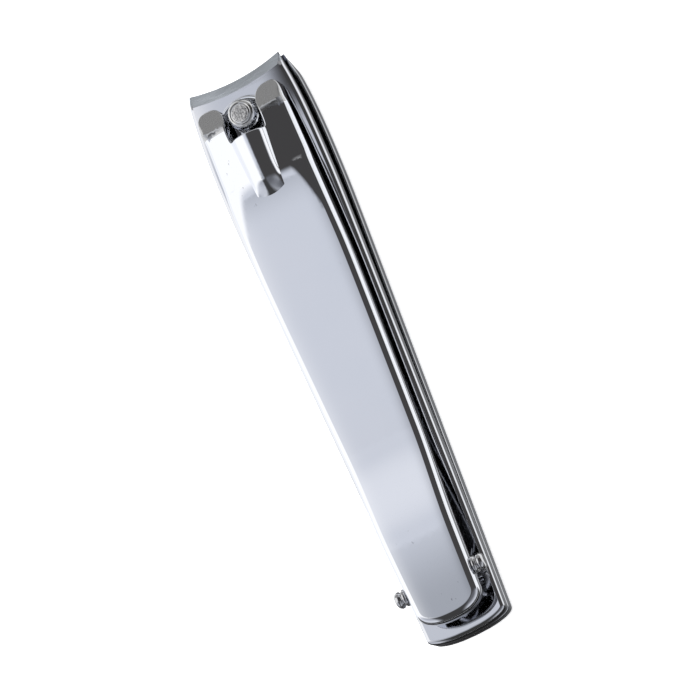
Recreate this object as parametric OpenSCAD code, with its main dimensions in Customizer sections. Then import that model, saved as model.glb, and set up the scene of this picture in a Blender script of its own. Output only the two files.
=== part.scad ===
// Large lever-type nail clipper with a fold-away file.
// +X points to the jaws, +Y to the left, +Z up. The origin is under the middle of the
// lower arm, on its flat underside. Millimetres.

/* [Arms] */
// Length of both arms, from the jaw tips to the rear edge
arm_length = 82; // [80:1:84]
// Widest place of the arms
arm_max_w = 15.7; // [15.4:0.1:16.2]
// Width of the cutting edges, tip to tip
jaw_tip_w = 13.8; // [13.6:0.1:14.2]
// Thickness of the arms' steel
arm_t = 1.7; // [1.6:0.05:1.8]
// Distance between the cutting edges at rest
jaw_gap = 2.0; // [1.8:0.1:2.1]
// Radius of the concave cutting edges, seen from above
jaw_radius = 27.7; // [26:0.1:30]
// Height of the lower cutting edge over the underside
lower_edge_z = 3.2; // [3.0:0.1:3.3]

/* [Lever] */
// Height of the lever's face at its front end
lever_face_z = 10.15; // [10.1:0.05:10.3]
// Depth of the lever, from its face to its turned-down edge
lever_depth = 2.3; // [2.2:0.05:2.4]
// Thickness of the lever's steel
lever_t = 0.9; // [0.8:0.05:1.0]
// Widest place of the lever
lever_max_w = 13.2; // [13:0.1:13.4]

/* [Post] */
// Distance from the jaw tips to the post's axis
post_setback = 6.7; // [6.5:0.1:6.8]
// Diameter of the post's shank
post_d = 3.4; // [3.2:0.1:3.5]
// Diameter of the post's head
head_d = 4.16; // [4.0:0.02:4.2]
// Height of the top of the post's head
head_z = 9.6; // [9.5:0.05:9.8]

/* [File] */
// Distance from the pin's axis to the file's tip
file_length = 32; // [28:0.5:32.5]
// Width of the file
file_w = 7.4; // [6:0.1:7.6]
// Thickness of the file
file_t = 0.8; // [0.6:0.1:0.8]
// Length of the pin over both heads
pin_length = 13.2; // [12.8:0.1:13.4]

/* [Hidden] */
$fn = 64;
jaw_fn = 128;
eps = 0.01;
// How far a cutting shape runs past the faces it cuts
over = 1;
// Length over which the taper of an arm's or the lever's sides sets in
taper_blend = 4;
end_steps = 12;
side_steps = 20;
face_steps = 24;

// Lengthwise places
front_x = arm_length / 2;
rear_x = -arm_length / 2;
post_x = front_x - post_setback;
rivet_x = rear_x + 7;
pin_x = rear_x + 7.2;
lever_rear_x = rear_x + 1.8;
lever_nose_x = front_x - 3.75;

// Arms
arm_taper = 0.034;
arm_wide_x = front_x - 17;
arm_end_depth = 2.6;
arm_end_power = 2.4;
arm_end_bow = 0;
upper_slope = atan((lower_edge_z + jaw_gap - arm_t) / (front_x - rivet_x));
bevel_w = 1.6;
jaw_heel_w = 2.6;
jaw_rise_w = 3.3;
jaw_centre_x = front_x + sqrt(pow(jaw_radius, 2) - pow(jaw_tip_w / 2, 2));

// Rear rivets
rivet_y = 2.6;
rivet_r = 1.0;
rivet_head_r = 1.6;
rivet_head_h = 0.5;
rivet_rim_h = 0.2;
rivet_crown_r = 1.2;
rivet_sink = 0.6;
rivet_play = 0.08;
rivet_head_play = 0.06;

// Post
fit_play = 0.05;
foot_r = 2.8;
foot_h = 0.8;
neck_r = 1.2;
neck_low_z = 7.25;
neck_high_z = 8.55;
head_edge_h = 0.4;
head_flat_r = 1.3;
upper_hole_r = 2.15;

// Lever
bar_r = 0.5;
bar_x = post_x + neck_r + fit_play + bar_r;
bar_z = (neck_low_z + neck_high_z) / 2;
bar_bed = 0.2;
nose_r = 0.9;
nose_z = 7.75;
lobe_w = 12.4;
hole_w = 5.2;
hole_rear_x = front_x - 10.1;
bend_x = front_x - 8.1;
face_slope = 0.05;
hump_h = 1.45;
hump_start_x = front_x - 55;
hump_length = 14;
lever_wall = 0.9;
lever_taper = 0.04;
lever_wide_x = front_x - 27;
lever_end_depth = 2.8;
lever_end_power = 2.4;
channel_front_x = hole_rear_x - 1.2;
rib_end_x = front_x - 18.8;
rib_end_l = 1.6;
rib_end_w = 4;
rib_sink = 1.5;

// File pin and file
pin_r = 0.6;
pin_z = 6.4;
knob_r = 1.2;
knob_neck_r = 0.85;
knob_round = 0.4;
knob_base = 0.3;
knob_play = 0.02;
eye_r = 0.95;
file_z = 5.0;
eye_w = 5.6;
eye_web_x = 0.6;
eye_web_l = 0.8;
file_neck_l = 3;
file_shoulder_l = 4.6;

// Half the arms' width at x
function arm_half_w(x) =
    let (half = arm_max_w / 2, ahead = max(0, x - arm_wide_x), behind = max(0, arm_wide_x - x))
    half - (half - jaw_tip_w / 2) * pow(ahead / (front_x - arm_wide_x), 3)
        - arm_taper * (sqrt(pow(behind, 2) + pow(taper_blend, 2)) - taper_blend);

// Half the lever's width at x
function lever_half_w(x) =
    let (half = lever_max_w / 2, ahead = max(0, x - lever_wide_x), behind = max(0, lever_wide_x - x))
    half - (half - lobe_w / 2) * pow(ahead / (lever_nose_x - lever_wide_x), 2)
        - lever_taper * (sqrt(pow(behind, 2) + pow(taper_blend, 2)) - taper_blend);

// Height of the lever's face at x: a straight slope with a raised thumb rest at the rear
function lever_face(x) =
    let (s = min(1, max(0, (hump_start_x - x) / hump_length)))
    lever_face_z - face_slope * (bend_x - x) + hump_h * s * s * (3 - 2 * s);

// Half a plan outline: along the side given by half_w, then round the rear end, which has
// squarer corners with a higher power and an edge that bows out by bow
function half_outline(half_w, x_front, x_rear, depth, power, bow) =
    let (x_end = x_rear + depth + bow, half = half_w(x_end))
    concat(
        [for (i = [0:side_steps]) let (x = x_front + (x_end - x_front) * i / side_steps) [x, half_w(x)]],
        [for (i = [1:end_steps]) let (t = 90 * i / end_steps, share = pow(cos(t), 2 / power))
            [x_rear + bow * share * share + depth * (1 - pow(sin(t), 2 / power)), half * share]]);

// A plan shape, symmetric about the X axis
module plan(half_w, x_front, x_rear, depth, power, bow) {
    side = half_outline(half_w, x_front, x_rear, depth, power, bow);
    mirrored = [for (i = [len(side) - 2:-1:0]) [side[i][0], -side[i][1]]];
    polygon(concat(side, mirrored));
}

// The plan of both arms
module arm_plan() {
    plan(function(x) arm_half_w(x), front_x, rear_x, arm_end_depth, arm_end_power, arm_end_bow);
}

// The lever's plan behind x_front, inset at the sides and the rear
module lever_plan(x_front, inset) {
    plan(function(x) lever_half_w(x) - inset, x_front, lever_rear_x + inset,
        lever_end_depth, lever_end_power, 0);
}

// Extrudes a side view, drawn as X and Z, over the given width in Y
module side_extrude(width) {
    translate([0, width / 2, 0]) rotate([90, 0, 0]) linear_extrude(width) children();
}

// A round hole or pin along Y, centred on y = 0
module along_y(x, z, r, length) {
    translate([x, length / 2, z]) rotate([90, 0, 0]) cylinder(r = r, h = length);
}

module lower_arm() {
    color("silver") difference() {
        union() {
            linear_extrude(arm_t) difference() {
                arm_plan();
                translate([jaw_centre_x, 0]) circle(r = jaw_radius + jaw_rise_w, $fn = jaw_fn);
            }
            // The jaw turns up to its sharp edge
            intersection() {
                linear_extrude(lower_edge_z) arm_plan();
                translate([jaw_centre_x, 0, 0]) rotate_extrude($fn = jaw_fn) polygon([
                    [jaw_radius, lower_edge_z],
                    [jaw_radius + jaw_rise_w, arm_t],
                    [jaw_radius + jaw_rise_w, 0],
                    [jaw_radius + jaw_heel_w, 0]]);
            }
        }
        // Bore and counterbore for the post
        translate([post_x, 0, -eps]) cylinder(r = post_d / 2 + fit_play, h = arm_t + over);
        translate([post_x, 0, -eps]) cylinder(r = foot_r + fit_play, h = foot_h + fit_play + eps);
        for (y = [-rivet_y, rivet_y]) translate([rivet_x, y, 0]) {
            translate([0, 0, -eps]) cylinder(r = rivet_r, h = arm_t + over);
            cylinder(r1 = rivet_head_r, r2 = rivet_r, h = rivet_sink);
        }
    }
}

module upper_arm() {
    top_z = 2 * arm_t;
    rise = (front_x - rivet_x) * tan(upper_slope);
    edge_z = arm_t + rise;
    color("silver") difference() {
        intersection() {
            side_extrude(2 * arm_max_w) polygon([
                [rear_x, arm_t], [rivet_x, arm_t], [front_x, edge_z],
                [front_x, top_z + rise], [rivet_x, top_z], [rear_x, top_z]]);
            linear_extrude(top_z + rise + over) arm_plan();
        }
        // The ground bevel over the concave cutting edge
        translate([jaw_centre_x, 0, 0]) cylinder(r = jaw_radius, h = edge_z + eps, $fn = jaw_fn);
        translate([jaw_centre_x, 0, edge_z])
            cylinder(r1 = jaw_radius, r2 = jaw_radius + bevel_w, h = arm_t + eps, $fn = jaw_fn);
        // Clearance hole for the post, and the holes for the rivets
        translate([post_x, 0, arm_t]) cylinder(r = upper_hole_r, h = top_z + rise);
        for (y = [-rivet_y, rivet_y]) translate([rivet_x, y, 0])
            cylinder(r = rivet_r + rivet_play, h = top_z + over);
    }
}

// A rivet with a sunk lower head and a raised upper head
module rear_rivet(y) {
    head_z0 = 2 * arm_t + rivet_head_play;
    color("gainsboro") translate([rivet_x, y, 0]) rotate_extrude() polygon([
        [0, 0], [rivet_head_r, 0], [rivet_r, rivet_sink], [rivet_r, head_z0], [rivet_head_r, head_z0],
        [rivet_head_r, head_z0 + rivet_rim_h], [rivet_crown_r, head_z0 + rivet_head_h],
        [0, head_z0 + rivet_head_h]]);
}

module rear_rivet_left() {
    rear_rivet(rivet_y);
}

module rear_rivet_right() {
    rear_rivet(-rivet_y);
}

// The turned post: a foot in the lower arm, a shank, a neck for the lever's bar and a head
module post() {
    color("gainsboro") translate([post_x, 0, 0]) rotate_extrude() polygon([
        [0, 0], [foot_r, 0], [foot_r, foot_h], [post_d / 2, foot_h], [post_d / 2, neck_low_z],
        [neck_r, neck_low_z], [neck_r, neck_high_z], [head_d / 2, neck_high_z],
        [head_d / 2, neck_high_z + head_edge_h], [head_flat_r, head_z], [0, head_z]]);
}

// Side view of the lever behind the bend, from its face down to its turned-down edge
module lever_side(drop, depth) {
    xs = [for (i = [0:face_steps]) bend_x + (lever_rear_x - bend_x) * i / face_steps];
    top = [for (x = xs) [x, lever_face(x) - drop]];
    low = [for (i = [len(xs) - 1:-1:0]) [xs[i], lever_face(xs[i]) - depth]];
    polygon(concat(top, low));
}

// Where a line from p touches the circle round c, on its upper side (1) or its lower side (-1)
function touch_point(p, c, r, side) =
    let (a = atan2(p[1] - c[1], p[0] - c[0]) - side * acos(r / norm(p - c)))
    c + r * [cos(a), sin(a)];

// Side view of the lobes, which slope down to a round nose over the upper arm
module lobe_side() {
    nose = [lever_nose_x - nose_r, nose_z];
    top = [bend_x, lever_face_z];
    low = [bend_x, lever_face_z - lever_depth];
    translate(nose) circle(r = nose_r);
    polygon([top, touch_point(top, nose, nose_r, 1), touch_point(low, nose, nose_r, -1), low]);
}

// The raised rib behind the opening: a round ridge that narrows to a sloping rear end
module rib() {
    end_r = norm([rib_end_w / 2, rib_sink]);
    front_r = norm([hole_w / 2, rib_sink]);
    z = lever_face(rib_end_x);
    tilt = atan(face_slope);
    intersection() {
        translate([rib_end_x, 0, z - rib_sink]) rotate([0, 90 - tilt, 0])
            cylinder(r1 = end_r, r2 = front_r, h = hole_rear_x - rib_end_x + eps);
        side_extrude(2 * hole_w) polygon([
            [rib_end_x, z - eps], [rib_end_x + rib_end_l, z + end_r - rib_sink],
            [hole_rear_x, z + 2 * front_r], [hole_rear_x + eps, z - eps]]);
    }
}

module lever() {
    color("silver") union() {
        difference() {
            union() {
                // The body, a channel with turned-down edges
                intersection() {
                    side_extrude(2 * lever_max_w) lever_side(0, lever_depth);
                    linear_extrude(lever_face_z + over) lever_plan(bend_x, 0);
                }
                // The lobes
                intersection() {
                    side_extrude(2 * lever_max_w) lobe_side();
                    linear_extrude(lever_face_z + over) translate([bend_x - eps, -lobe_w / 2])
                        square([lever_nose_x - bend_x + over, lobe_w]);
                }
                rib();
            }
            // The channel under the face
            intersection() {
                side_extrude(2 * lever_max_w) lever_side(lever_t, lever_depth + over);
                linear_extrude(lever_face_z + over) lever_plan(channel_front_x, lever_wall);
            }
            // The opening round the post
            translate([hole_rear_x, -hole_w / 2, neck_low_z - over])
                cube([front_x - hole_rear_x, hole_w, lever_face_z]);
            along_y(pin_x, pin_z, pin_r, 2 * lever_max_w);
        }
        along_y(bar_x, bar_z, bar_r, hole_w + 2 * bar_bed);
    }
}

// The file's hinge pin, held in the lever's side walls, with a rounded knob on each end
module file_pin() {
    seat_y = lever_half_w(pin_x);
    end_y = pin_length / 2;
    half = [
        [pin_r, seat_y + knob_play], [knob_neck_r, seat_y + knob_play], [knob_r, seat_y + knob_base],
        [knob_r, end_y - knob_round], [knob_neck_r, end_y], [0, end_y]];
    mirrored = [for (i = [len(half) - 1:-1:0]) [half[i][0], -half[i][1]]];
    color("gainsboro") translate([pin_x, 0, pin_z]) rotate([-90, 0, 0])
        rotate_extrude() polygon(concat(mirrored, half));
}

// The file: a strip with a narrow neck and a rounded tip, and an eye that turns on the pin
module file_blade() {
    tip_x = pin_x + file_length;
    color("darkgray") difference() {
        union() {
            translate([0, 0, file_z]) linear_extrude(file_t) {
                polygon([
                    [pin_x + eye_web_x, -eye_w / 2], [pin_x + file_neck_l, -eye_w / 2],
                    [pin_x + file_shoulder_l, -file_w / 2], [tip_x - file_w / 2, -file_w / 2],
                    [tip_x - file_w / 2, file_w / 2], [pin_x + file_shoulder_l, file_w / 2],
                    [pin_x + file_neck_l, eye_w / 2], [pin_x + eye_web_x, eye_w / 2]]);
                translate([tip_x - file_w / 2, 0]) circle(d = file_w);
            }
            along_y(pin_x, pin_z, eye_r, eye_w);
            translate([pin_x + eye_web_x, -eye_w / 2, file_z])
                cube([eye_web_l, eye_w, pin_z - file_z]);
        }
        along_y(pin_x, pin_z, pin_r + fit_play, file_w + over);
    }
}

lower_arm();
upper_arm();
rear_rivet_left();
rear_rivet_right();
post();
lever();
file_pin();
file_blade();
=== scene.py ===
"""The looks of a large lever-type nail clipper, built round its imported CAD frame.

Plan shapes are given in millimetres in the CAD's axes: +X to the jaws, +Y to the left, +Z up.
"""

import math

import bmesh
import bpy
from mathutils import Matrix, Vector
from mathutils.geometry import delaunay_2d_cdt

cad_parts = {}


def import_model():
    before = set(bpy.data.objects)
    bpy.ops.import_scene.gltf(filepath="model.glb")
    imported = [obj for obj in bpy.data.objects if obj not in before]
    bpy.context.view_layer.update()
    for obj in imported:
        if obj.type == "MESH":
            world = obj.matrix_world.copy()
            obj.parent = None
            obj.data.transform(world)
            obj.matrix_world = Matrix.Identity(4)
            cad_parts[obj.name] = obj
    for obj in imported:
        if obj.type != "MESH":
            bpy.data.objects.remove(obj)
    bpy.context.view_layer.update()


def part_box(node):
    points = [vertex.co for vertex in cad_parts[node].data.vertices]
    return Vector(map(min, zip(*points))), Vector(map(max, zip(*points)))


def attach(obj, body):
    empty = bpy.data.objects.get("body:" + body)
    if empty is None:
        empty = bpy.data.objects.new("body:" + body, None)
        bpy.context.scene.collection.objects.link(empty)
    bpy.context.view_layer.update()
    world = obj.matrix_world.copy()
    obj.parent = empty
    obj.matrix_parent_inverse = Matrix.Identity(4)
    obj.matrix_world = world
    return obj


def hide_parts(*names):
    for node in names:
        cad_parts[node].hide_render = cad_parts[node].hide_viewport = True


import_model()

MM = 0.001


def box_mm(node):
    """A CAD node's lowest and highest corner, in millimetres."""
    lo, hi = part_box(node)
    return lo / MM, hi / MM


ARM_LO, ARM_HI = box_mm("lower_arm")
LEVER_LO, LEVER_HI = box_mm("lever")
POST_LO, POST_HI = box_mm("post")
PIN_LO, PIN_HI = box_mm("file_pin")
FILE_LO, FILE_HI = box_mm("file_blade")
RIVET_LO, RIVET_HI = box_mm("rear_rivet_left")

# Lengthwise places
FRONT_X = ARM_HI.x
REAR_X = ARM_LO.x
POST_X = (POST_LO.x + POST_HI.x) / 2
RIVET_X = (RIVET_LO.x + RIVET_HI.x) / 2
PIN_X = (PIN_LO.x + PIN_HI.x) / 2
PIN_Z = (PIN_LO.z + PIN_HI.z) / 2

# Arms
ARM_T = 1.7
ARM_HALF = ARM_HI.y
TIP_HALF = 6.9
ARM_TAPER = 0.034
ARM_WIDE_X = FRONT_X - 17
ARM_END = {"depth": 1.3, "power": 4.2, "bow": 0.6}
EDGE_Z = 3.2
UPPER_EDGE_Z = 5.2
JAW_R = 27.7
JAW_X = FRONT_X + math.sqrt(JAW_R**2 - TIP_HALF**2)
BEVEL_W = 1.9
HEEL_W = 2.6
RISE_W = 3.3
UPPER_SLOPE = (UPPER_EDGE_Z - ARM_T) / (FRONT_X - RIVET_X)
UPPER_CROWN = 0.22
UPPER_CROWN_X = FRONT_X - 14
UPPER_CROWN_L = 10
FOOT_HOLE_R = 2.86
UPPER_HOLE_R = 2.15
RIVET_Y = 2.6
SUNK_HEAD_R = 1.62
RIVET_HOLE_R = 1.08

# Lever
LEVER_DEPTH = 2.3
LEVER_T = 0.9
LEVER_HALF = 6.6
NOSE_X = LEVER_HI.x
NOSE_R = 0.9
NOSE_Z = 7.75
LOBE_HALF = 6.2
LEVER_WIDE_X = FRONT_X - 27
LEVER_REAR_X = LEVER_LO.x
LEVER_END = {"depth": 2.8, "power": 2.4, "bow": 0.0}
FACE_Z = 10.15
BEND_X = FRONT_X - 8.1
HOLE_HALF = 2.6
HOLE_REAR_X = FRONT_X - 10.1
HOLE_ROUND = 0.5
FACE_SLOPE = 0.05
HUMP_H = 1.45
HUMP_X = FRONT_X - 55
HUMP_L = 14
THUMB_X = -27.5
THUMB_DIP = 0.0022
SOFT_CROWN = 0.11
BEND_FADE = 0.9
CHANNEL_FRONT_X = HOLE_REAR_X - 1.2
RIB_END_X = FRONT_X - 18.8
RIB_END_L = 1.6
RIB_END_HALF = 2.0
RIB_END_CURVE = 0.12
RIB_SINK = 1.5
LEVER_TAPER = 0.04
TAPER_BLEND = 4

# File
FILE_T = 0.8
EYE_HALF = 2.8

# The bar ahead of the post: half its arc in degrees, its radii along X and Y, its height and its own
# radius
BAR_TURN = 62
BAR_BOW = 2.18
BAR_REACH = 3.125
BAR_Z = 7.9
BAR_R = 0.36

# The lobes: where their round noses begin, their inner edge, the power of the noses' curve, and how
# much shorter they are at the inner edge
LOBE_X = 34.6
LOBE_INNER = 2.5
LOBE_POWER = 2.6
LOBE_SKEW = 0.5

# The crown beside the rib: its full slope, where it sets in across and along the lever, how far
# back its start moves and how much longer it grows towards the sides, and the steps that add it up
CROWN_SLOPE = 0.21
CROWN_HALF = 1.6
CROWN_OUTER = 3.6
CROWN_X = 24.3
CROWN_SETBACK = 1.7
CROWN_LENGTH = 3.2
CROWN_GROWTH = 2.0
CROWN_REAR_X = 9.0
CROWN_STEPS = 12

# The swell behind the rib: its full slope, where it begins, is full and begins to fade, and over
# what length it fades
SWELL_SLOPE = 0.07
SWELL_X = 17.0
SWELL_FULL_X = 25.0
SWELL_FADE_X = 26.0
SWELL_FADE_L = 6.5

# Meshes: the distance in metres at which points are joined, half the step of a slope in millimetres,
# how far into its face a corner's slope is read, and how well a rim's face has to match its cap
WELD = 2e-6
SLOPE_STEP = 0.01
SLOPE_INSET = 0.12
RIM_MATCH = 0.8

# Half the floor's side, in metres
SHEET_HALF = 0.9


# ---------------------------------------------------------------- small maths


def smooth(t):
    """0 to 1 with level ends."""
    t = min(1.0, max(0.0, t))
    return t * t * (3 - 2 * t)


def arm_half(x):
    """Half the arms' width at x."""
    ahead, behind = max(0, x - ARM_WIDE_X), max(0, ARM_WIDE_X - x)
    return (
        ARM_HALF
        - (ARM_HALF - TIP_HALF) * (ahead / (FRONT_X - ARM_WIDE_X)) ** 3
        - ARM_TAPER * (math.hypot(behind, TAPER_BLEND) - TAPER_BLEND)
    )


def lever_half(x):
    """Half the lever's width at x."""
    ahead, behind = max(0, x - LEVER_WIDE_X), max(0, LEVER_WIDE_X - x)
    return (
        LEVER_HALF
        - (LEVER_HALF - LOBE_HALF) * (ahead / (NOSE_X - LEVER_WIDE_X)) ** 2
        - LEVER_TAPER * (math.hypot(behind, TAPER_BLEND) - TAPER_BLEND)
    )


def along(a, b, step):
    """Values from a to b, both kept, about a step apart."""
    n = max(1, round(abs(b - a) / step))
    return [a + (b - a) * i / n for i in range(n + 1)]


def end_start(rear, end):
    """Where the round rear end of an outline begins."""
    return rear + end["depth"] + end["bow"]


def rear_end(half, rear, end, steps=16):
    """The round rear end of an outline, from its right side to its left side."""
    widest = half(end_start(rear, end))
    p = 2 / end["power"]
    pts = []
    for i in range(2 * steps + 1):
        t = math.pi * i / (2 * steps)
        c, s = math.cos(t), math.sin(t)
        share = math.copysign(abs(c) ** p, c)
        pts.append(
            (rear + end["bow"] * share**2 + end["depth"] * (1 - abs(s) ** p), -widest * share)
        )
    return pts


def tidy_loop(pts, least=0.02):
    """Drops points that nearly repeat the one before."""
    out = []
    for p in pts:
        if not out or math.dist(p, out[-1]) > least:
            out.append(p)
    if math.dist(out[0], out[-1]) <= least:
        out.pop()
    return out


def inward(loop):
    """Each point's direction into the material, on a loop that has the material on its left."""
    n = len(loop)
    dirs = []
    for i, p in enumerate(loop):
        a = Vector(p) - Vector(loop[i - 1])
        b = Vector(loop[(i + 1) % n]) - Vector(p)
        na = Vector((-a.y, a.x)).normalized()
        nb = Vector((-b.y, b.x)).normalized()
        m = na + nb
        m = m.normalized() if m.length > 1e-6 else na
        dirs.append(m / max(0.6, m.dot(na)))
    return dirs


def inset(loop, amounts):
    """The loop moved into the material by an amount for each point."""
    return [
        (p[0] + d.x * s, p[1] + d.y * s)
        for p, d, s in zip(loop, inward(loop), amounts)
    ]


def inside(p, loop):
    """Whether a point lies inside a closed outline."""
    x, y = p
    odd = False
    for i, (x1, y1) in enumerate(loop):
        x2, y2 = loop[i - 1]
        if (y1 > y) != (y2 > y) and x < (x2 - x1) * (y - y1) / (y2 - y1) + x1:
            odd = not odd
    return odd


# ---------------------------------------------------------------- mesh builder


class Shell:
    """Collects faces in millimetres and makes one clean mesh of them."""

    def __init__(self):
        self.verts, self.faces = [], []
        self.heights = []  # the height function of each cap
        self.cap_of = {}  # the number of its cap, for each face of one
        self.mark_of = {}  # the material index, for each face that isn't of the first material

    def ring(self, pts3):
        """Adds a row of points and returns their numbers."""
        start = len(self.verts)
        self.verts.extend(pts3)
        return list(range(start, start + len(pts3)))

    def bridge(self, a, b):
        """Joins two rings of as many points."""
        n = len(a)
        for i in range(n):
            j = (i + 1) % n
            self.faces.append((a[i], a[j], b[j], b[i]))

    def cap(self, loop, height, holes=(), creases=(), step=0.9, fine=()):
        """Covers the loop with small triangles lifted to height(x, y).

        The triangles follow the creases, which are lines of points, and have a smaller step in
        each box of fine: x0, x1, y0, y1, step.
        """
        pts, edges = [], []
        for ring in (loop, *holes):
            start = len(pts)
            pts.extend(Vector(p) for p in ring)
            edges.extend(
                (start + i, start + (i + 1) % len(ring)) for i in range(len(ring))
            )
        for line in creases:
            start = len(pts)
            pts.extend(Vector(p) for p in line)
            edges.extend((start + i, start + i + 1) for i in range(len(line) - 1))
        border = [Vector(p) for p in pts]
        cells = {}
        for p in border:
            cells.setdefault((round(p.x), round(p.y)), []).append(p)

        def clear(q, gap):
            cx, cy = round(q.x), round(q.y)
            return all(
                (p - q).length > gap
                for i in (-1, 0, 1)
                for j in (-1, 0, 1)
                for p in cells.get((cx + i, cy + j), ())
            )

        def fill(x0, x1, y0, y1, gap, keep):
            row = 0
            y = y0
            while y <= y1:
                x = x0 + (gap / 2 if row % 2 else 0)
                while x <= x1:
                    q = Vector((x, y))
                    if keep(q) and inside(q, loop) and clear(q, gap * 0.55):
                        if not any(inside(q, h) for h in holes):
                            pts.append(q)
                    x += gap
                y += gap * 0.866
                row += 1

        xs, ys = [p[0] for p in loop], [p[1] for p in loop]
        boxes = [b[:4] for b in fine]

        def coarse(q):
            return not any(a <= q.x <= b and c <= q.y <= d for a, b, c, d in boxes)

        fill(min(xs), max(xs), min(ys), max(ys), step, coarse)
        for a, b, c, d, gap in fine:
            fill(a, b, c, d, gap, lambda q: True)
        out, _, tris, _, _, _ = delaunay_2d_cdt(pts, edges, [], 0, 1e-5)
        start = len(self.verts)
        self.verts.extend((p.x, p.y, height(p.x, p.y)) for p in out)
        self.heights.append(height)
        for t in tris:
            c = sum((out[i] for i in t), Vector((0, 0))) / 3
            if inside(c, loop) and not any(inside(c, h) for h in holes):
                self.cap_of[len(self.faces)] = len(self.heights)
                self.faces.append(tuple(start + i for i in t))

    def add(self, verts, faces, mark=0):
        """Adds a finished set of points and faces, in the material that mark numbers."""
        start = len(self.verts)
        self.verts.extend(verts)
        for f in faces:
            self.mark_of[len(self.faces)] = mark
            self.faces.append(tuple(start + i for i in f))

    def make(self, name, materials, sharp=28.0):
        """Makes the Blender object. Edges over the sharp angle, in degrees, stay sharp."""
        mesh = bpy.data.meshes.new(name)
        mesh.from_pydata([Vector(v) * MM for v in self.verts], [], self.faces)
        for m in materials:
            mesh.materials.append(m)
        for face, mark in self.mark_of.items():
            mesh.polygons[face].material_index = mark
        cap_number = mesh.attributes.new("cap_number", "INT", "FACE")
        for face, number in self.cap_of.items():
            cap_number.data[face].value = number
        bm = bmesh.new()
        bm.from_mesh(mesh)
        bmesh.ops.remove_doubles(bm, verts=bm.verts, dist=WELD)
        bmesh.ops.dissolve_degenerate(bm, edges=bm.edges, dist=WELD / 2)
        loose = [v for v in bm.verts if not v.link_faces]
        bmesh.ops.delete(bm, geom=loose, context="VERTS")
        bmesh.ops.recalc_face_normals(bm, faces=bm.faces)
        bm.to_mesh(mesh)
        bm.free()
        mesh.shade_smooth()
        mesh.set_sharp_from_angle(angle=math.radians(sharp))
        obj = bpy.data.objects.new(name, mesh)
        bpy.context.scene.collection.objects.link(obj)
        if self.heights:
            exact_normals(mesh, self.heights)
        else:
            weighted = obj.modifiers.new("weighted_normals", "WEIGHTED_NORMAL")
            weighted.keep_sharp = True
        return obj


def up_normal(height, x, y):
    """The upward unit normal of the surface z = height(x, y)."""
    dx = height(x + SLOPE_STEP, y) - height(x - SLOPE_STEP, y)
    dy = height(x, y + SLOPE_STEP) - height(x, y - SLOPE_STEP)
    return Vector((-dx, -dy, 2 * SLOPE_STEP)).normalized()


def exact_normals(mesh, heights):
    """Shades each cap by its own height function, and the rim's rounding to match it."""
    number_of = mesh.attributes["cap_number"].data
    normals = [Vector((0, 0, 0)) for _ in mesh.loops]
    rim = {}
    for poly in mesh.polygons:
        number = number_of[poly.index].value
        if number == 0:
            continue
        centre = poly.center / MM
        side = 1 if poly.normal.z > 0 else -1
        for loop in poly.loop_indices:
            vert = mesh.loops[loop].vertex_index
            # A little inside the face, so that a crease's two sides stay apart
            p = (mesh.vertices[vert].co / MM).lerp(centre, SLOPE_INSET)
            normals[loop] = side * up_normal(heights[number - 1], p.x, p.y)
            rim.setdefault(vert, []).append(normals[loop])
    for poly in mesh.polygons:
        if number_of[poly.index].value:
            continue
        for loop in poly.loop_indices:
            near = rim.get(mesh.loops[loop].vertex_index)
            if near:
                n = sum(near, Vector((0, 0, 0))).normalized()
                if n.dot(poly.normal) > RIM_MATCH:
                    normals[loop] = n
    mesh.normals_split_custom_set(normals)
    mesh.attributes.remove(mesh.attributes["cap_number"])


def slab(
    shell,
    loop,
    top,
    bottom,
    top_r,
    bottom_r,
    weights,
    holes=(),
    hole_r=0.12,
    creases_top=(),
    creases_bottom=(),
    step=0.9,
    fine=(),
    bottom_holes=(),
    steps=6,
):
    """A plate between two surfaces, with rounded upper and lower edges.

    The weights are each outline point's share of the rounding. Bottom holes are cut in the lower
    surface only, and their walls are left to the caller.
    """

    def rounded(outline, share, r_top, r_bottom):
        rings = []
        for k in range(steps + 1):
            t = math.pi / 2 * k / steps
            s = [r_top * (1 - math.sin(t)) * w for w in share]
            pts = inset(outline, s)
            rings.append((pts, "top", r_top * (1 - math.cos(t))))
        for k in range(steps, -1, -1):
            t = math.pi / 2 * k / steps
            s = [r_bottom * (1 - math.sin(t)) * w for w in share]
            pts = inset(outline, s)
            rings.append((pts, "bottom", r_bottom * (1 - math.cos(t))))
        made = []
        for pts, side, drop in rings:
            row = []
            for (x, y), w in zip(pts, share):
                hi, lo = top(x, y), bottom(x, y)
                room = max(0.0, hi - lo)
                limit = min(1.0, 0.98 * room / (r_top + r_bottom)) if room else 0.0
                d = drop * w * limit
                row.append((x, y, hi - d if side == "top" else lo + d))
            made.append((pts, shell.ring(row)))
        for (_, a), (_, b) in zip(made, made[1:]):
            shell.bridge(a, b)
        return made[0][0], made[-1][0]

    top_loop, low_loop = rounded(loop, weights, top_r, bottom_r)
    top_holes, low_holes = [], []
    for h in holes:
        a, b = rounded(h, [1.0] * len(h), hole_r, hole_r)
        top_holes.append(a)
        low_holes.append(b)
    shell.cap(top_loop, top, top_holes, creases_top, step, fine)
    shell.cap(low_loop, bottom, low_holes + list(bottom_holes), creases_bottom, step * 1.4)


def circle(x, y, r, n=48):
    """A round hole: it has the material on its left."""
    return [
        (
            x + r * math.cos(-2 * math.pi * i / n),
            y + r * math.sin(-2 * math.pi * i / n),
        )
        for i in range(n)
    ]


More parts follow.
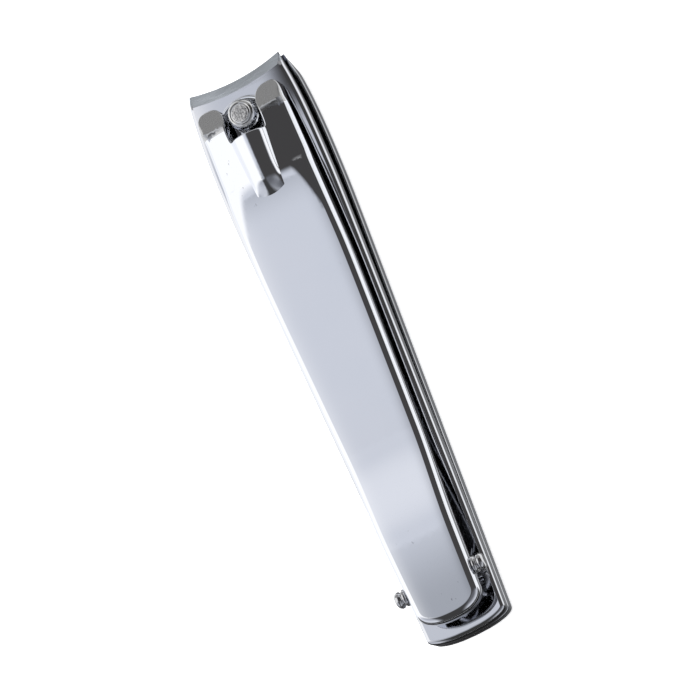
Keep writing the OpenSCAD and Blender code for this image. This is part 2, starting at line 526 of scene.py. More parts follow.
def turned(shell, profile, n=64, mark=0, place=Matrix.Identity(4)):
    """A closed turned form round Z from (radius, height) points."""
    verts, faces = [], []
    for r, z in profile:
        for i in range(n):
            a = 2 * math.pi * i / n
            verts.append(place @ Vector((r * math.cos(a), r * math.sin(a), z)))
    for k in range(len(profile) - 1):
        for i in range(n):
            j = (i + 1) % n
            faces.append(
                (k * n + i, k * n + j, (k + 1) * n + j, (k + 1) * n + i)
            )
    shell.add([tuple(v) for v in verts], faces, mark)


def arc(cx, cz, r, a0, a1, n=6):
    """Points of an arc in (radius, height), by angles in degrees."""
    return [
        (
            cx + r * math.cos(math.radians(a0 + (a1 - a0) * i / n)),
            cz + r * math.sin(math.radians(a0 + (a1 - a0) * i / n)),
        )
        for i in range(n + 1)
    ]


# ---------------------------------------------------------------- materials


class Nodes:
    """Short hands for building a node material."""

    def __init__(self, name):
        self.mat = bpy.data.materials.new(name)
        self.mat.use_nodes = True
        self.tree = self.mat.node_tree
        self.tree.nodes.clear()
        self.out = self.tree.nodes.new("ShaderNodeOutputMaterial")
        self.bsdf = self.tree.nodes.new("ShaderNodeBsdfPrincipled")
        self.link(self.bsdf.outputs[0], self.out.inputs[0])
        self.coord = self.tree.nodes.new("ShaderNodeTexCoord").outputs["Object"]

    def link(self, a, b):
        self.tree.links.new(a, b)

    def node(self, kind, **values):
        n = self.tree.nodes.new(kind)
        for key, value in values.items():
            setattr(n, key, value)
        return n

    def mapped(self, scale, rotation=(0, 0, 0)):
        m = self.node("ShaderNodeMapping")
        m.inputs["Scale"].default_value = scale
        m.inputs["Rotation"].default_value = rotation
        self.link(self.coord, m.inputs["Vector"])
        return m.outputs[0]

    def noise(self, vector, scale, detail=3.0, roughness=0.55):
        n = self.node("ShaderNodeTexNoise")
        n.inputs["Scale"].default_value = scale
        n.inputs["Detail"].default_value = detail
        n.inputs["Roughness"].default_value = roughness
        self.link(vector, n.inputs["Vector"])
        return n.outputs["Fac"]

    def ramp(self, value, lo, hi, out_lo, out_hi):
        n = self.node("ShaderNodeMapRange")
        for key, v in zip(("From Min", "From Max", "To Min", "To Max"), (lo, hi, out_lo, out_hi)):
            n.inputs[key].default_value = v
        self.link(value, n.inputs["Value"])
        return n.outputs[0]

    def maths(self, kind, a, b):
        n = self.node("ShaderNodeMath", operation=kind)
        for slot, v in zip(n.inputs, (a, b)):
            if isinstance(v, (int, float)):
                slot.default_value = v
            else:
                self.link(v, slot)
        return n.outputs[0]

    def mix(self, fac, a, b):
        n = self.node("ShaderNodeMix", data_type="RGBA")
        self.link(fac, n.inputs["Factor"])
        for slot, v in (("A", a), ("B", b)):
            if isinstance(v, tuple):
                n.inputs[slot].default_value = (*v, 1)
            else:
                self.link(v, n.inputs[slot])
        return n.outputs["Result"]

    def bump(self, height, strength, distance):
        n = self.node("ShaderNodeBump")
        n.inputs["Strength"].default_value = strength
        n.inputs["Distance"].default_value = distance
        self.link(height, n.inputs["Height"])
        self.link(n.outputs[0], self.bsdf.inputs["Normal"])

    def scratches(self, scale, stretch, turn, lo, hi):
        """Thin broken lines along one direction: 1 on a scratch, 0 elsewhere."""
        v = self.mapped((1, stretch, stretch), (0, 0, turn))
        lines = self.noise(v, scale, 2.0, 0.5)
        patches = self.noise(self.coord, scale * 0.06, 2.0, 0.5)
        thin = self.ramp(lines, lo, hi, 0.0, 1.0)
        some = self.ramp(patches, 0.52, 0.62, 0.0, 1.0)
        return self.maths("MULTIPLY", thin, some)


def chrome(name, colour, dull, rough_lo, rough_hi, wave):
    """Mirror-polished plate with faint waves, haze, small pits and a few fine scratches."""
    n = Nodes(name)
    n.bsdf.inputs["Metallic"].default_value = 1.0
    haze = n.noise(n.mapped((1, 3, 3)), 90.0, 4.0)
    cloud = n.noise(n.coord, 45.0, 3.0)
    plate = n.mix(n.ramp(cloud, 0.35, 0.7, 0.0, 1.0), colour, dull)
    grains = n.ramp(n.noise(n.mapped((1, 1.6, 1), (0, 0, 0.6)), 1100.0, 2.0), 0.715, 0.76, 0.0, 0.55)
    pits = n.maths("MULTIPLY", grains, n.ramp(n.noise(n.coord, 70.0, 2.0), 0.5, 0.62, 0.0, 1.0))
    n.link(n.mix(pits, plate, (0.3, 0.3, 0.32)), n.bsdf.inputs["Base Color"])
    marks = n.scratches(700.0, 0.05, 0.5, 0.72, 0.76)
    base = n.ramp(haze, 0.3, 0.75, rough_lo, rough_hi)
    n.link(n.maths("ADD", base, n.maths("MULTIPLY", marks, 0.12)), n.bsdf.inputs["Roughness"])
    fine = n.noise(n.coord, 260.0, 2.0)
    broad = n.noise(n.mapped((0.5, 1, 1)), 60.0, 1.0)
    height = n.maths("ADD", n.maths("MULTIPLY", fine, 0.05), n.maths("MULTIPLY", broad, wave))
    height = n.maths("SUBTRACT", height, n.maths("MULTIPLY", marks, 0.25))
    n.bump(height, 0.35, 0.00002)
    return n.mat


def brushed(name, colour, dull, rough, stretch, grain, depth, turn=0.0):
    """Ground or satin steel with its grain along one direction."""
    n = Nodes(name)
    n.bsdf.inputs["Metallic"].default_value = 1.0
    lines = n.noise(n.mapped(stretch, (0, 0, turn)), grain, 4.0, 0.7)
    cloud = n.noise(n.coord, 120.0, 3.0)
    tone = n.maths("ADD", n.maths("MULTIPLY", lines, 0.6), n.maths("MULTIPLY", cloud, 0.4))
    n.link(n.mix(n.ramp(tone, 0.35, 0.65, 0.0, 1.0), colour, dull), n.bsdf.inputs["Base Color"])
    n.link(n.ramp(lines, 0.3, 0.7, rough * 0.8, rough * 1.25), n.bsdf.inputs["Roughness"])
    n.bump(lines, 0.5, depth)
    return n.mat


def peened(name):
    """The hammered end of the post: small dents, darker grey where the noise that shapes them sinks and
    lighter where it rises.
    """
    n = Nodes(name)
    n.bsdf.inputs["Metallic"].default_value = 1.0
    cell = n.node("ShaderNodeTexVoronoi")
    cell.inputs["Scale"].default_value = 2600.0
    n.link(n.coord, cell.inputs["Vector"])
    rough = n.noise(n.coord, 3800.0, 5.0, 0.7)
    dents = n.maths("ADD", n.maths("MULTIPLY", cell.outputs["Distance"], 0.6), rough)
    n.link(
        n.mix(n.ramp(rough, 0.38, 0.62, 0.0, 1.0), (0.36, 0.36, 0.37), (0.93, 0.92, 0.91)),
        n.bsdf.inputs["Base Color"],
    )
    n.link(n.ramp(rough, 0.3, 0.7, 0.55, 0.3), n.bsdf.inputs["Roughness"])
    n.bump(dents, 0.9, 0.00006)
    return n.mat


def hatched(name):
    """File teeth: two crossing sets of fine grooves on nickel-grey steel."""
    n = Nodes(name)
    n.bsdf.inputs["Metallic"].default_value = 1.0
    sets = []
    for turn in (0.9, -0.9):
        wave = n.node("ShaderNodeTexWave", wave_type="BANDS", wave_profile="SAW")
        wave.inputs["Scale"].default_value = 420.0
        wave.inputs["Distortion"].default_value = 0.4
        n.link(n.mapped((1, 1, 0), (0, 0, turn)), wave.inputs["Vector"])
        sets.append(wave.outputs["Fac"])
    teeth = n.maths("MINIMUM", sets[0], sets[1])
    grime = n.noise(n.coord, 300.0, 3.0)
    tone = n.maths("MULTIPLY", teeth, n.ramp(grime, 0.3, 0.7, 0.7, 1.0))
    n.link(n.mix(tone, (0.22, 0.22, 0.23), (0.78, 0.79, 0.8)), n.bsdf.inputs["Base Color"])
    n.link(n.ramp(teeth, 0.0, 1.0, 0.5, 0.25), n.bsdf.inputs["Roughness"])
    n.bump(teeth, 0.8, 0.0001)
    return n.mat


ARM_CHROME = chrome("arm_chrome_plate", (0.79, 0.80, 0.83), (0.73, 0.74, 0.78), 0.03, 0.07, 0.15)
LEVER_CHROME = chrome("lever_chrome_plate", (0.88, 0.89, 0.93), (0.84, 0.86, 0.91), 0.025, 0.06, 0.2)
POST_CHROME = chrome("post_polished", (0.85, 0.85, 0.85), (0.75, 0.75, 0.75), 0.05, 0.12, 0.6)
PIN_CHROME = chrome("pin_polished", (0.70, 0.70, 0.71), (0.56, 0.56, 0.58), 0.06, 0.14, 0.3)
LOBE_SATIN = brushed(
    "lobe_satin", (0.62, 0.62, 0.62), (0.57, 0.57, 0.58), 0.24, (1, 4, 1), 350.0, 0.000002, 0.4
)
GROUND = brushed("ground_bevel", (0.59, 0.625, 0.67), (0.47, 0.50, 0.54), 0.3, (6, 0.6, 1), 700.0, 0.000006)
RIVET_SATIN = brushed("rivet_satin", (0.70, 0.70, 0.71), (0.55, 0.55, 0.56), 0.28, (3, 1, 1), 1500.0, 0.00002)
PEENED = peened("post_peened_end")
FILE_HATCH = hatched("file_teeth")
FILE_EDGE = brushed(
    "file_plain_steel", (0.66, 0.67, 0.69), (0.55, 0.56, 0.58), 0.3, (0.5, 5, 5), 900.0, 0.00002
)


# ---------------------------------------------------------------- arms


def jaw_distance(x, y):
    """Distance behind the concave cutting edge, seen from above."""
    return math.hypot(x - JAW_X, y) - JAW_R


def arm_outline():
    """The arms' outline, anticlockwise, with how much of the edge rounding each point takes."""
    side = along(FRONT_X, end_start(REAR_X, ARM_END), 0.8)
    left = [(x, arm_half(x)) for x in side]
    rear = rear_end(arm_half, REAR_X, ARM_END)
    right = [(x, -arm_half(x)) for x in reversed(side)]
    front = []
    tip = math.asin(TIP_HALF / JAW_R)
    for i in range(1, 32):
        a = -tip + 2 * tip * i / 32
        front.append((JAW_X - JAW_R * math.cos(a), JAW_R * math.sin(a)))
    loop = tidy_loop(left + rear[::-1] + right + front)
    weights = []
    for x, y in loop:
        d = jaw_distance(x, y)
        weights.append(smooth(d / 1.8) if d > 0.01 else 0.0)
    return loop, weights


def jaw_arc(back):
    """A line across the jaw, a distance behind the cutting edge."""
    r = JAW_R + back
    pts = []
    for i in range(41):
        y = -9 + 18 * i / 40
        x = JAW_X - math.sqrt(r * r - y * y)
        pts.append((x, y))
    return [p for p in pts if abs(p[1]) < arm_half(p[0]) - 0.4]


def lower_top(x, y):
    d = jaw_distance(x, y)
    return ARM_T + (EDGE_Z - ARM_T) * max(0.0, 1 - max(0.0, d) / RISE_W)


def lower_bottom(x, y):
    d = jaw_distance(x, y)
    return EDGE_Z * max(0.0, 1 - max(0.0, d) / HEEL_W)


def upper_bottom(x, y):
    return ARM_T + max(0.0, x - RIVET_X) * UPPER_SLOPE


def upper_top(x, y):
    flat = 2 * ARM_T + max(0.0, x - RIVET_X) * UPPER_SLOPE
    # Near the jaw the sides fall away a little
    flat -= UPPER_CROWN * (abs(y) / 7) ** 3 * smooth((x - UPPER_CROWN_X) / UPPER_CROWN_L)
    d = jaw_distance(x, y)
    if d < BEVEL_W:
        k = max(0.0, d) / BEVEL_W
        return upper_bottom(x, y) + (flat - upper_bottom(x, y)) * k
    return flat


def fold_line():
    """The line across the upper arm where it starts to rise."""
    return [(RIVET_X, y) for y in along(-5.0, 5.0, 1.0)]


def paint_faces(obj, index, test):
    """Gives the faces that pass the test another material."""
    for poly in obj.data.polygons:
        c = poly.center / MM
        if test(c, poly.normal):
            poly.material_index = index


def make_lower_arm():
    shell = Shell()
    loop, weights = arm_outline()
    holes = [circle(POST_X, 0, FOOT_HOLE_R)]
    holes += [circle(RIVET_X, side * RIVET_Y, SUNK_HEAD_R, 32) for side in (-1, 1)]
    slab(
        shell, loop, lower_top, lower_bottom, 0.3, 0.3, weights,
        holes=holes, hole_r=0.08,
        creases_top=[jaw_arc(RISE_W)], creases_bottom=[jaw_arc(HEEL_W)], step=1.4,
    )
    obj = shell.make("lower_arm_shell", [ARM_CHROME, GROUND])
    paint_faces(obj, 1, lambda c, n: jaw_distance(c.x, c.y) < HEEL_W and n.z < -0.2 and n.x > 0.1)
    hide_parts("lower_arm")
    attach(obj, "lower")


def make_upper_arm():
    shell = Shell()
    loop, weights = arm_outline()
    holes = [circle(POST_X, 0, UPPER_HOLE_R)]
    holes += [circle(RIVET_X, side * RIVET_Y, RIVET_HOLE_R, 32) for side in (-1, 1)]
    slab(
        shell, loop, upper_top, upper_bottom, 0.6, 0.25, weights,
        holes=holes, hole_r=0.1,
        creases_top=[jaw_arc(BEVEL_W), fold_line()], creases_bottom=[fold_line()], step=1.4,
    )
    obj = shell.make("upper_arm_shell", [ARM_CHROME, GROUND])
    paint_faces(obj, 1, lambda c, n: jaw_distance(c.x, c.y) < BEVEL_W and n.z > 0.1 and n.x > 0.25)
    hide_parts("upper_arm")
    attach(obj, "upper")


# ---------------------------------------------------------------- lever


def face_z(x):
    """Height of the lever's face, before its crown."""
    return FACE_Z - FACE_SLOPE * (BEND_X - x) + HUMP_H * smooth((HUMP_X - x) / HUMP_L)


def soft_crown(x, y):
    """The whole face is a little rounded across, and its thumb rest dips to the rear."""
    across = SOFT_CROWN * (abs(y) / lever_half(min(x, BEND_X))) ** 4
    dip = THUMB_DIP * max(0.0, THUMB_X - x) ** 2
    return across + dip


def swell(x):
    """The face curls up a little towards the rib's rear end."""
    run = max(0.0, min(x, SWELL_FULL_X) - SWELL_X)
    rise = SWELL_SLOPE * run**2 / (2 * (SWELL_FULL_X - SWELL_X))
    return rise * (1 - smooth((x - SWELL_FADE_X) / SWELL_FADE_L))


def touch_point(p, c, r, side):
    """Where a line from p touches the circle round c, above (1) or below (-1)."""
    vx, vz = p[0] - c[0], p[1] - c[1]
    a = math.atan2(vz, vx) - side * math.acos(r / math.hypot(vx, vz))
    return c[0] + r * math.cos(a), c[1] + r * math.sin(a)


NOSE_C = (NOSE_X - NOSE_R, NOSE_Z)
TOUCH_TOP = touch_point((BEND_X, FACE_Z), NOSE_C, NOSE_R, 1)
TOUCH_LOW = touch_point((BEND_X, FACE_Z - LEVER_DEPTH), NOSE_C, NOSE_R, -1)


def line_z(x, a, b):
    """Height at x on the line from a to b, both (x, z)."""
    return a[1] + (b[1] - a[1]) * (x - a[0]) / (b[0] - a[0])


def crown(x, y):
    """How far the face falls away beside the rib and under the bend."""
    if x < CROWN_REAR_X or abs(y) < CROWN_HALF:
        return 0.0
    width = (abs(y) - CROWN_HALF) / CROWN_STEPS
    fall = 0.0
    for i in range(CROWN_STEPS):
        outer = max(0.0, CROWN_HALF + (i + 0.5) * width - CROWN_OUTER)
        length = CROWN_LENGTH + CROWN_GROWTH * outer
        start = CROWN_X - CROWN_SETBACK * outer**1.7 - length / 3
        fall += CROWN_SLOPE * smooth((x - start) / length) * width
    return fall


def rib_rise(x, y):
    """Height of the raised rib over the face."""
    if x < RIB_END_X - 0.5 or x > BEND_X:
        return 0.0
    k = (x - RIB_END_X) / (HOLE_REAR_X - RIB_END_X)
    half = RIB_END_HALF + (HOLE_HALF - RIB_END_HALF) * min(1.0, k)
    if abs(y) >= half:
        return 0.0
    r = math.hypot(half, RIB_SINK)
    ridge = math.sqrt(max(0.0, r * r - y * y)) - RIB_SINK
    run = x - RIB_END_X - RIB_END_CURVE * y * y
    return ridge * math.sin(math.pi / 2 * min(1.0, max(0.0, run / (RIB_END_L + 0.6)))) ** 0.9


def lever_top(x, y):
    if x > TOUCH_TOP[0]:
        z = NOSE_Z + math.sqrt(max(0.0, NOSE_R**2 - (min(x, NOSE_X) - NOSE_C[0]) ** 2))
    elif x > BEND_X:
        z = line_z(x, (BEND_X, FACE_Z), TOUCH_TOP)
    else:
        z = face_z(x)
    fade = 1 - smooth((x - BEND_X) / BEND_FADE)
    return z + swell(x) - (crown(x, y) + soft_crown(x, y)) * fade + rib_rise(x, y)


def lever_low(x, y):
    if x > TOUCH_LOW[0]:
        return NOSE_Z - math.sqrt(max(0.0, NOSE_R**2 - (min(x, NOSE_X) - NOSE_C[0]) ** 2))
    if x > BEND_X:
        return line_z(x, (BEND_X, FACE_Z - LEVER_DEPTH), TOUCH_LOW)
    return face_z(x) - LEVER_DEPTH


def lever_outline():
    """The lever's outline, anticlockwise, with each point's share of the shoulder rounding."""
    side = along(LOBE_X, end_start(LEVER_REAR_X, LEVER_END), 0.7)
    left = [(x, lever_half(x)) for x in side]
    rear = rear_end(lever_half, LEVER_REAR_X, LEVER_END)
    right = [(x, -y) for x, y in reversed(left)]
    # The right lobe's nose, from its outer side to its inner side
    nose = []
    outer, inner = lever_half(LOBE_X), LOBE_INNER
    mid, half = (outer + inner) / 2, (outer - inner) / 2
    for i in range(1, 24):
        t = math.pi * i / 24
        c, s = math.cos(t), math.sin(t)
        skew = LOBE_SKEW * (1 - c) / 2
        nose.append(
            (
                LOBE_X + (NOSE_X - LOBE_X - skew) * abs(s) ** (2 / LOBE_POWER),
                -(mid + half * math.copysign(abs(c) ** (2 / LOBE_POWER), c)),
            )
        )
    inside_side = []
    for x in along(LOBE_X, HOLE_REAR_X + HOLE_ROUND, 0.4):
        k = (x - HOLE_REAR_X) / (LOBE_X - HOLE_REAR_X)
        inside_side.append((x, -(HOLE_HALF - 0.1 * k + 0.15 * math.sin(math.pi * k))))
    # The notch's rounded rear corner
    corner = []
    for i in range(1, 6):
        t = math.pi / 2 * i / 5
        corner.append(
            (
                HOLE_REAR_X + HOLE_ROUND * (1 - math.sin(t)),
                -(HOLE_HALF + 0.03 - HOLE_ROUND * (1 - math.cos(t))),
            )
        )
    half_notch = nose + inside_side + corner
    back = [(HOLE_REAR_X, y) for y in along(-1.9, 1.9, 0.3)]
    other = [(x, -y) for x, y in reversed(half_notch)]
    loop = tidy_loop(left + rear[::-1] + right + half_notch + back + other, 0.04)
    # The shoulder is full along the sides and shrinks over the lobes and in the notch
    weights = []
    for x, y in loop:
        if x >= HOLE_REAR_X - 0.01 and abs(y) < 3.2:
            weights.append(0.2)
        elif x > 33.5:
            weights.append(0.2 + 0.8 * smooth((36.4 - x) / 2.6) * smooth((abs(y) - 3.0) / 2.5))
        else:
            weights.append(1.0)
    return loop, weights


def channel_outline():
    """The outline of the hollow under the lever's face."""
    def half(x):
        return lever_half(x) - LEVER_T

    side = along(CHANNEL_FRONT_X, end_start(LEVER_REAR_X + LEVER_T, LEVER_END), 0.8)
    left = [(x, half(x)) for x in side]
    rear = rear_end(half, LEVER_REAR_X + LEVER_T, LEVER_END)
    right = [(x, -half(x)) for x in reversed(side)]
    end = half(CHANNEL_FRONT_X)
    front = [(CHANNEL_FRONT_X, y) for y in along(-end, end, 0.8)][1:-1]
    return tidy_loop(left + rear[::-1] + right + front)


def lever_creases():
    """The rib's foot and flanks, and the bend between the face and the lobes."""
    foot = []
    for x in along(RIB_END_X + 0.48, HOLE_REAR_X - 0.25, 0.2):
        k = (x - RIB_END_X) / (HOLE_REAR_X - RIB_END_X)
        foot.append((x, RIB_END_HALF + (HOLE_HALF - RIB_END_HALF) * k))
    edge = foot[0][1]
    end = [(RIB_END_X + RIB_END_CURVE * y * y, y) for y in along(-edge, edge, 0.15)]
    end[0], end[-1] = (foot[0][0], -edge), foot[0]
    lines = [foot, [(x, -y) for x, y in foot], end]
    for back in (0.2, 0.4, 0.6):
        flank = [(x, y - back) for x, y in foot if x > RIB_END_X + 1.6]
        lines += [flank, [(x, -y) for x, y in flank]]
    for dx in (-0.12, 0.12):
        for side in (-1, 1):
            lines.append([(BEND_X + dx, side * y) for y in along(3.3, 5.1, 0.3)])
    return lines


def sweep(shell, path, r, n=16):
    """A round bar along a path of (x, y, z) points, closed at both ends."""
    rings = []
    for i, p in enumerate(path):
        a = Vector(path[max(0, i - 1)])
        b = Vector(path[min(len(path) - 1, i + 1)])
        t = (b - a).normalized()
        u = t.cross(Vector((0, 0, 1))).normalized()
        v = t.cross(u)
        rings.append(
            shell.ring(
                [
                    tuple(
                        Vector(p)
                        + r * (math.cos(2 * math.pi * k / n) * u + math.sin(2 * math.pi * k / n) * v)
                    )
                    for k in range(n)
                ]
            )
        )
    for a, b in zip(rings, rings[1:]):
        shell.bridge(a, b)
    for ring in (rings[0], rings[-1]):
        shell.faces.append(tuple(ring))


def make_lever():
    shell = Shell()
    loop, weights = lever_outline()
    channel = channel_outline()
    slab(
        shell, loop, lever_top, lever_low, 0.95, 0.15, weights,
        creases_top=lever_creases(), step=1.0,
        fine=[(12.0, 34.0, -LEVER_HALF, LEVER_HALF, 0.42)], bottom_holes=[channel[::-1]], steps=9,
    )
    low = shell.ring([(x, y, lever_low(x, y)) for x, y in channel])

    def ceiling(x, y):
        return face_z(x) - LEVER_T

    high = shell.ring([(x, y, ceiling(x, y)) for x, y in channel])
    shell.bridge(low, high)
    shell.cap(channel, ceiling, step=1.2)
    obj = shell.make("lever_shell", [LEVER_CHROME, LOBE_SATIN], sharp=32)
    paint_faces(obj, 1, lambda c, n: c.x > BEND_X + 0.05 and n.z > 0.3)
    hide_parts("lever")
    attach(obj, "lever")

    bar = Shell()
    path = []
    for i in range(25):
        a = math.radians(-BAR_TURN + 2 * BAR_TURN * i / 24)
        path.append((POST_X + BAR_BOW * math.cos(a), BAR_REACH * math.sin(a), BAR_Z))
    sweep(bar, path, BAR_R)
    piece = bar.make("lever_front_bar", [LEVER_CHROME])
    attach(piece, "lever")


# ---------------------------------------------------------------- post, rivets, pin


def make_post():
    shell = Shell()
    top = POST_HI.z
    # The foot, the shank, the neck, and then the head's edge, its round side and its small rim
    profile = [(0.001, 0.0), (2.6, 0.0), (2.78, 0.08), (2.78, 0.8)]
    profile += [(1.7, 0.8), (1.7, 7.1), (1.55, 7.25)]
    profile += [(1.0, 7.25), (1.0, 8.55), (1.95, 8.55)]
    profile += arc(1.93, 8.7, 0.15, -60, 10, 5)
    profile += arc(1.16, 8.72, 0.85, 12, 68, 9)
    profile += [(1.36, 9.44)] + arc(1.16, 9.44, 0.12, 35, 100, 5)
    turned(shell, profile)
    disc = [(1.1, top - 0.05), (1.0, top - 0.02), (0.7, top), (0.35, top - 0.02), (0.001, top - 0.03)]
    turned(shell, [profile[-1]] + disc, mark=1, n=64)
    shell.verts = [(x + POST_X, y, z) for x, y, z in shell.verts]
    obj = shell.make("post_turned", [POST_CHROME, PEENED], sharp=40)
    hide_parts("post")
    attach(obj, "post")


def make_rivets():
    for name, side in (("left", 1), ("right", -1)):
        shell = Shell()
        z = 2 * ARM_T + 0.06
        profile = [(0.001, 0.0), (1.5, 0.0), (1.6, 0.1), (1.0, 0.6), (1.0, z), (1.6, z), (1.6, z + 0.12)]
        profile += arc(0.9, z - 0.15, 0.75, 25, 70, 5) + [(0.5, z + 0.49), (0.001, z + 0.5)]
        turned(shell, profile, n=40)
        shell.verts = [(x + RIVET_X, y + side * RIVET_Y, v) for x, y, v in shell.verts]
        obj = shell.make(f"rear_rivet_{name}_turned", [RIVET_SATIN], sharp=40)
        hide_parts(f"rear_rivet_{name}")
        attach(obj, "lower")


def make_pin():
    shell = Shell()
    seat = lever_half(PIN_X)
    end = PIN_HI.y
    half = [(0.6, 0.0), (0.6, seat + 0.02), (0.85, seat + 0.02)]
    half += arc(0.9, seat + 0.32, 0.3, -75, 75, 8)
    half += arc(1.03, seat + 0.72, 0.1, 250, 110, 4)
    half += arc(0.55, end - 0.62, 0.62, -12, 80, 9) + [(0.35, end - 0.01), (0.001, end)]
    for side in (1, -1):
        place = Matrix.Translation((PIN_X, 0, PIN_Z)) @ Matrix.Rotation(
            math.radians(-90 * side), 4, "X"
        )
        turned(shell, half, n=40, place=place)
    obj = shell.make("file_pin_turned", [PIN_CHROME], sharp=40)
    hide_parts("file_pin")
    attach(obj, "lever")


# ---------------------------------------------------------------- file


def make_file():
    shell = Shell()
    low, high = FILE_LO.z, FILE_LO.z + FILE_T
    half_w, eye_half = FILE_HI.y, EYE_HALF
    tip = FILE_HI.x
    neck = [(PIN_X + 0.6, eye_half), (PIN_X + 3.0, eye_half), (PIN_X + 4.6, half_w)]
    side = neck + [(x, half_w) for x in along(PIN_X + 5.2, tip - half_w, 1.0)]
    nose = [
        (tip - half_w + half_w * math.sin(t), half_w * math.cos(t))
        for t in along(0.08, math.pi - 0.08, 0.12)
    ]
    loop = tidy_loop(side[::-1] + [(x, -y) for x, y in side] + nose[::-1])
    slab(
        shell, loop, lambda *_: high, lambda *_: low, 0.12, 0.12,
        [1.0] * len(loop), step=1.6, steps=4,
    )
    strip = shell.make("file_strip", [FILE_EDGE, FILE_HATCH])
    paint_faces(strip, 1, lambda c, n: abs(n.z) > 0.9 and c.x > PIN_X + 5.5 and abs(c.y) < half_w - 0.3)
    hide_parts("file_blade")
    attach(strip, "file")

    eye = Shell()
    y = eye_half
    profile = [(0.66, -y), (0.9, -y), (0.95, -y + 0.06), (0.95, y - 0.06), (0.9, y), (0.66, y), (0.66, -y)]
    place = Matrix.Translation((PIN_X, 0, PIN_Z)) @ Matrix.Rotation(math.radians(90), 4, "X")
    turned(eye, profile, n=40, place=place)
    # The web that joins the eye to the strip
    front, rear, side = PIN_X + 1.4, PIN_X + 0.7, y - 0.05
    web = [(front, side), (rear, side), (rear, -side), (front, -side)]
    slab(
        eye, web, lambda x, _: PIN_Z - 0.1 - 0.7 * (x - PIN_X - 0.6), lambda *_: high - 0.1, 0.05, 0.05,
        [1.0] * 4, step=1.0, steps=2,
    )
    obj = eye.make("file_eye", [FILE_EDGE], sharp=40)
    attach(obj, "file")


# ---------------------------------------------------------------- stage


def sheet_of(name, z, material):
    """A flat square sheet round the origin, at a height z in metres."""
    mesh = bpy.data.meshes.new(name)
    half = SHEET_HALF
    corners = [(-half, -half, z), (half, -half, z), (half, half, z), (-half, half, z)]
    mesh.from_pydata(corners, [], [(0, 1, 2, 3)])
    mesh.materials.append(material)
    obj = bpy.data.objects.new(name, mesh)
    bpy.context.scene.collection.objects.link(obj)
    return obj


def floor():
    """White paper. Only the metal sees the glowing card under it, as with the cards of a tabletop studio; the
    card's glow is painted reflection, with painted shade round the object.
    """
    n = Nodes("floor_paper")
    n.bsdf.inputs["Base Color"].default_value = (0.9, 0.9, 0.9, 1)
    n.bsdf.inputs["Roughness"].default_value = 0.9
    n.bsdf.inputs["Specular IOR Level"].default_value = 0.0
    n.bsdf.inputs["Emission Color"].default_value = (1, 1, 1, 1)
    n.bsdf.inputs["Emission Strength"].default_value = 0.72
    paper = sheet_of("floor", -0.0003, n.mat)
    paper.visible_glossy = False
    card = sheet_of("painted_reflection_floor", -0.0002, painted_reflection_card())
    card.visible_camera = False
    card.visible_diffuse = False
    card.visible_shadow = False


def painted_reflection_card():
    """Painted reflections: a grey glow round the object as painted shade, white at both sides as painted
    light, dark behind.
    """
    n = Nodes("painted_reflection_card")
    n.tree.nodes.remove(n.bsdf)
    glow = n.node("ShaderNodeEmission")
    n.link(glow.outputs[0], n.out.inputs[0])
    place = n.node("ShaderNodeSeparateXYZ")
    n.link(n.coord, place.inputs[0])
    x, y = place.outputs[0], place.outputs[1]

    def band(value, a, b):
        m = n.node("ShaderNodeMapRange", interpolation_type="SMOOTHSTEP")
        m.inputs["From Min"].default_value = a
        m.inputs["From Max"].default_value = b
        n.link(value, m.inputs["Value"])
        return m.outputs[0]

    # Painted reflection: the grey beside the object stands in for the floor's shade there, and the white
    # further out for brightly lit floor
    right = n.maths("MULTIPLY", band(y, -0.0098, -0.0125), band(y, -0.25, -0.20))
    left = band(y, 0.0085, 0.0105)
    level = n.ramp(n.maths("MAXIMUM", right, left), 0, 1, 0.22, 1.05)
    # Painted dark behind the object, apart from one thin line of painted light
    rear = n.maths("SUBTRACT", 1.0, n.maths("MULTIPLY", band(x, -0.0385, -0.042), 0.93))
    line = n.maths("MULTIPLY", band(x, -0.0545, -0.0535), band(x, -0.0515, -0.0525))
    lit = n.maths("ADD", n.maths("MULTIPLY", level, rear), n.maths("MULTIPLY", line, 0.55))
    n.link(lit, glow.inputs["Strength"])
    glow.inputs["Color"].default_value = (0.97, 0.985, 1.0, 1)
    return n.mat


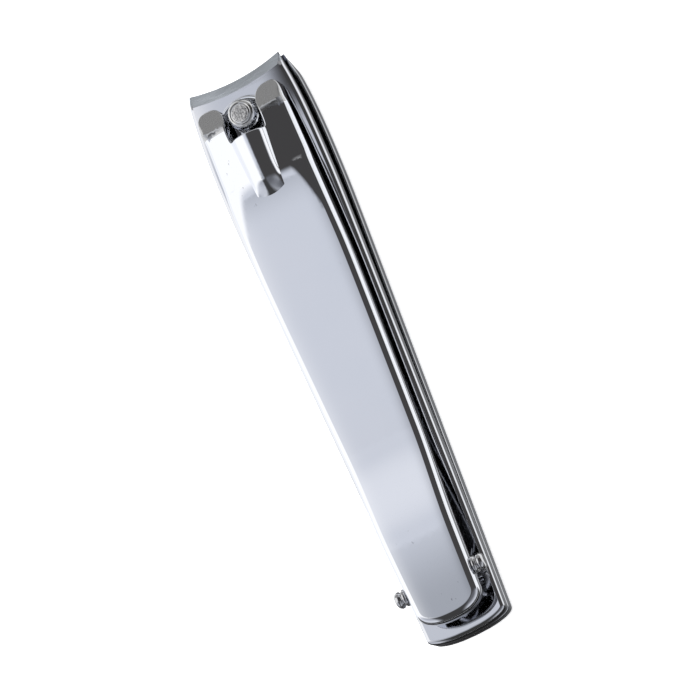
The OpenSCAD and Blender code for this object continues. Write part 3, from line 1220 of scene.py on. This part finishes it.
def world():
    """A studio seen by direction.

    It has a grey-blue ceiling, white to the left, a dark flag to the right over a bright horizon,
    grey ahead, dark behind, and soft greys in the two rear corners.
    """
    w = bpy.data.worlds.new("studio")
    bpy.context.scene.world = w
    w.use_nodes = True
    tree = w.node_tree
    tree.nodes.clear()
    out = tree.nodes.new("ShaderNodeOutputWorld")
    back = tree.nodes.new("ShaderNodeBackground")
    tree.links.new(back.outputs[0], out.inputs[0])
    coord = tree.nodes.new("ShaderNodeTexCoord")

    def dot(axis):
        n = tree.nodes.new("ShaderNodeVectorMath")
        n.operation = "DOT_PRODUCT"
        tree.links.new(coord.outputs["Generated"], n.inputs[0])
        n.inputs[1].default_value = Vector(axis).normalized()
        return n.outputs["Value"]

    def step(value, lo, hi):
        n = tree.nodes.new("ShaderNodeMapRange")
        n.interpolation_type = "SMOOTHSTEP"
        n.inputs["From Min"].default_value = lo
        n.inputs["From Max"].default_value = hi
        tree.links.new(value, n.inputs["Value"])
        return n.outputs[0]

    def product(a, b):
        n = tree.nodes.new("ShaderNodeMath")
        n.operation = "MULTIPLY"
        tree.links.new(a, n.inputs[0])
        tree.links.new(b, n.inputs[1])
        return n.outputs[0]

    def blend(fac, a, b):
        n = tree.nodes.new("ShaderNodeMix")
        n.data_type = "RGBA"
        tree.links.new(fac, n.inputs["Factor"])
        for slot, v in (("A", a), ("B", b)):
            if isinstance(v, tuple):
                n.inputs[slot].default_value = (*v, 1)
            else:
                tree.links.new(v, n.inputs[slot])
        return n.outputs["Result"]

    y = dot((0, 1, 0))
    x = dot((1, 0, 0))
    z = dot((0, 0, 1))
    ceiling = blend(step(x, 0.04, 0.17), (0.40, 0.42, 0.46), (0.67, 0.695, 0.755))
    ceiling = blend(step(x, 0.24, 0.44), ceiling, (0.80, 0.82, 0.87))
    ceiling = blend(step(y, 0.27, 0.52), ceiling, (1.15, 1.15, 1.15))
    ceiling = blend(step(y, 0.0, 0.25), (0.50, 0.54, 0.62), ceiling)
    right = product(step(dot((0, -1, 0.02)), -0.22, -0.05), step(z, 0.12, 0.28))
    horizon = product(step(y, 0.05, -0.08), step(z, 0.26, 0.16))
    colour = blend(right, blend(horizon, ceiling, (1.1, 1.1, 1.1)), (0.060, 0.058, 0.058))
    front = product(step(x, 0.58, 0.70), step(z, -0.2, 0.0))
    colour = blend(front, colour, (0.36, 0.36, 0.36))
    rear = product(product(step(x, -0.12, -0.36), step(z, -0.3, -0.1)), step(y, 0.6, 0.42))
    colour = blend(rear, colour, (0.05, 0.05, 0.05))
    side = product(step(x, -0.05, -0.35), step(y, 0.15, -0.1))
    shade = blend(step(z, 0.85, 0.15), (0.13, 0.135, 0.15), (0.62, 0.64, 0.69))
    colour = blend(side, colour, shade)
    far = product(step(x, -0.05, -0.35), step(y, 0.36, 0.55))
    colour = blend(far, colour, blend(step(z, 0.85, 0.15), (0.42, 0.44, 0.49), (0.72, 0.74, 0.79)))
    tree.links.new(colour, back.inputs["Color"])
    back.inputs["Strength"].default_value = 1.0


def area_light(name, place, aim, size, power):
    data = bpy.data.lights.new(name, "AREA")
    data.shape = "SQUARE"
    data.size = size
    data.energy = power
    obj = bpy.data.objects.new(name, data)
    obj.location = place
    obj.rotation_euler = (Vector(aim) - Vector(place)).to_track_quat("-Z", "Y").to_euler()
    obj.visible_glossy = False
    bpy.context.scene.collection.objects.link(obj)


def camera():
    """The photograph's view: from above, a little behind and to the right, solved from it."""
    aim = Vector((-0.000256, -0.000264, 0.005075))
    back = Vector((-0.26235, -0.26430, 0.92808)).normalized()
    up = Vector((0.89159, -0.43433, 0.12834))
    right = up.cross(back).normalized()
    up = back.cross(right)
    data = bpy.data.cameras.new("camera")
    data.sensor_width = 36
    data.lens = 272.68
    data.clip_start, data.clip_end = 0.05, 20
    obj = bpy.data.objects.new("camera", data)
    turn = Matrix((right, up, back)).transposed()
    obj.matrix_world = Matrix.Translation(aim + back * 0.69515) @ turn.to_4x4()
    bpy.context.scene.collection.objects.link(obj)
    bpy.context.scene.camera = obj


camera()
world()
floor()
area_light("soft_top", (0.1, 0.25, 0.9), (0, 0, 0), 0.8, 9.0)
make_lower_arm()
make_upper_arm()
make_lever()
make_post()
make_rivets()
make_pin()
make_file()
bpy.context.scene.view_settings.view_transform = "Standard"
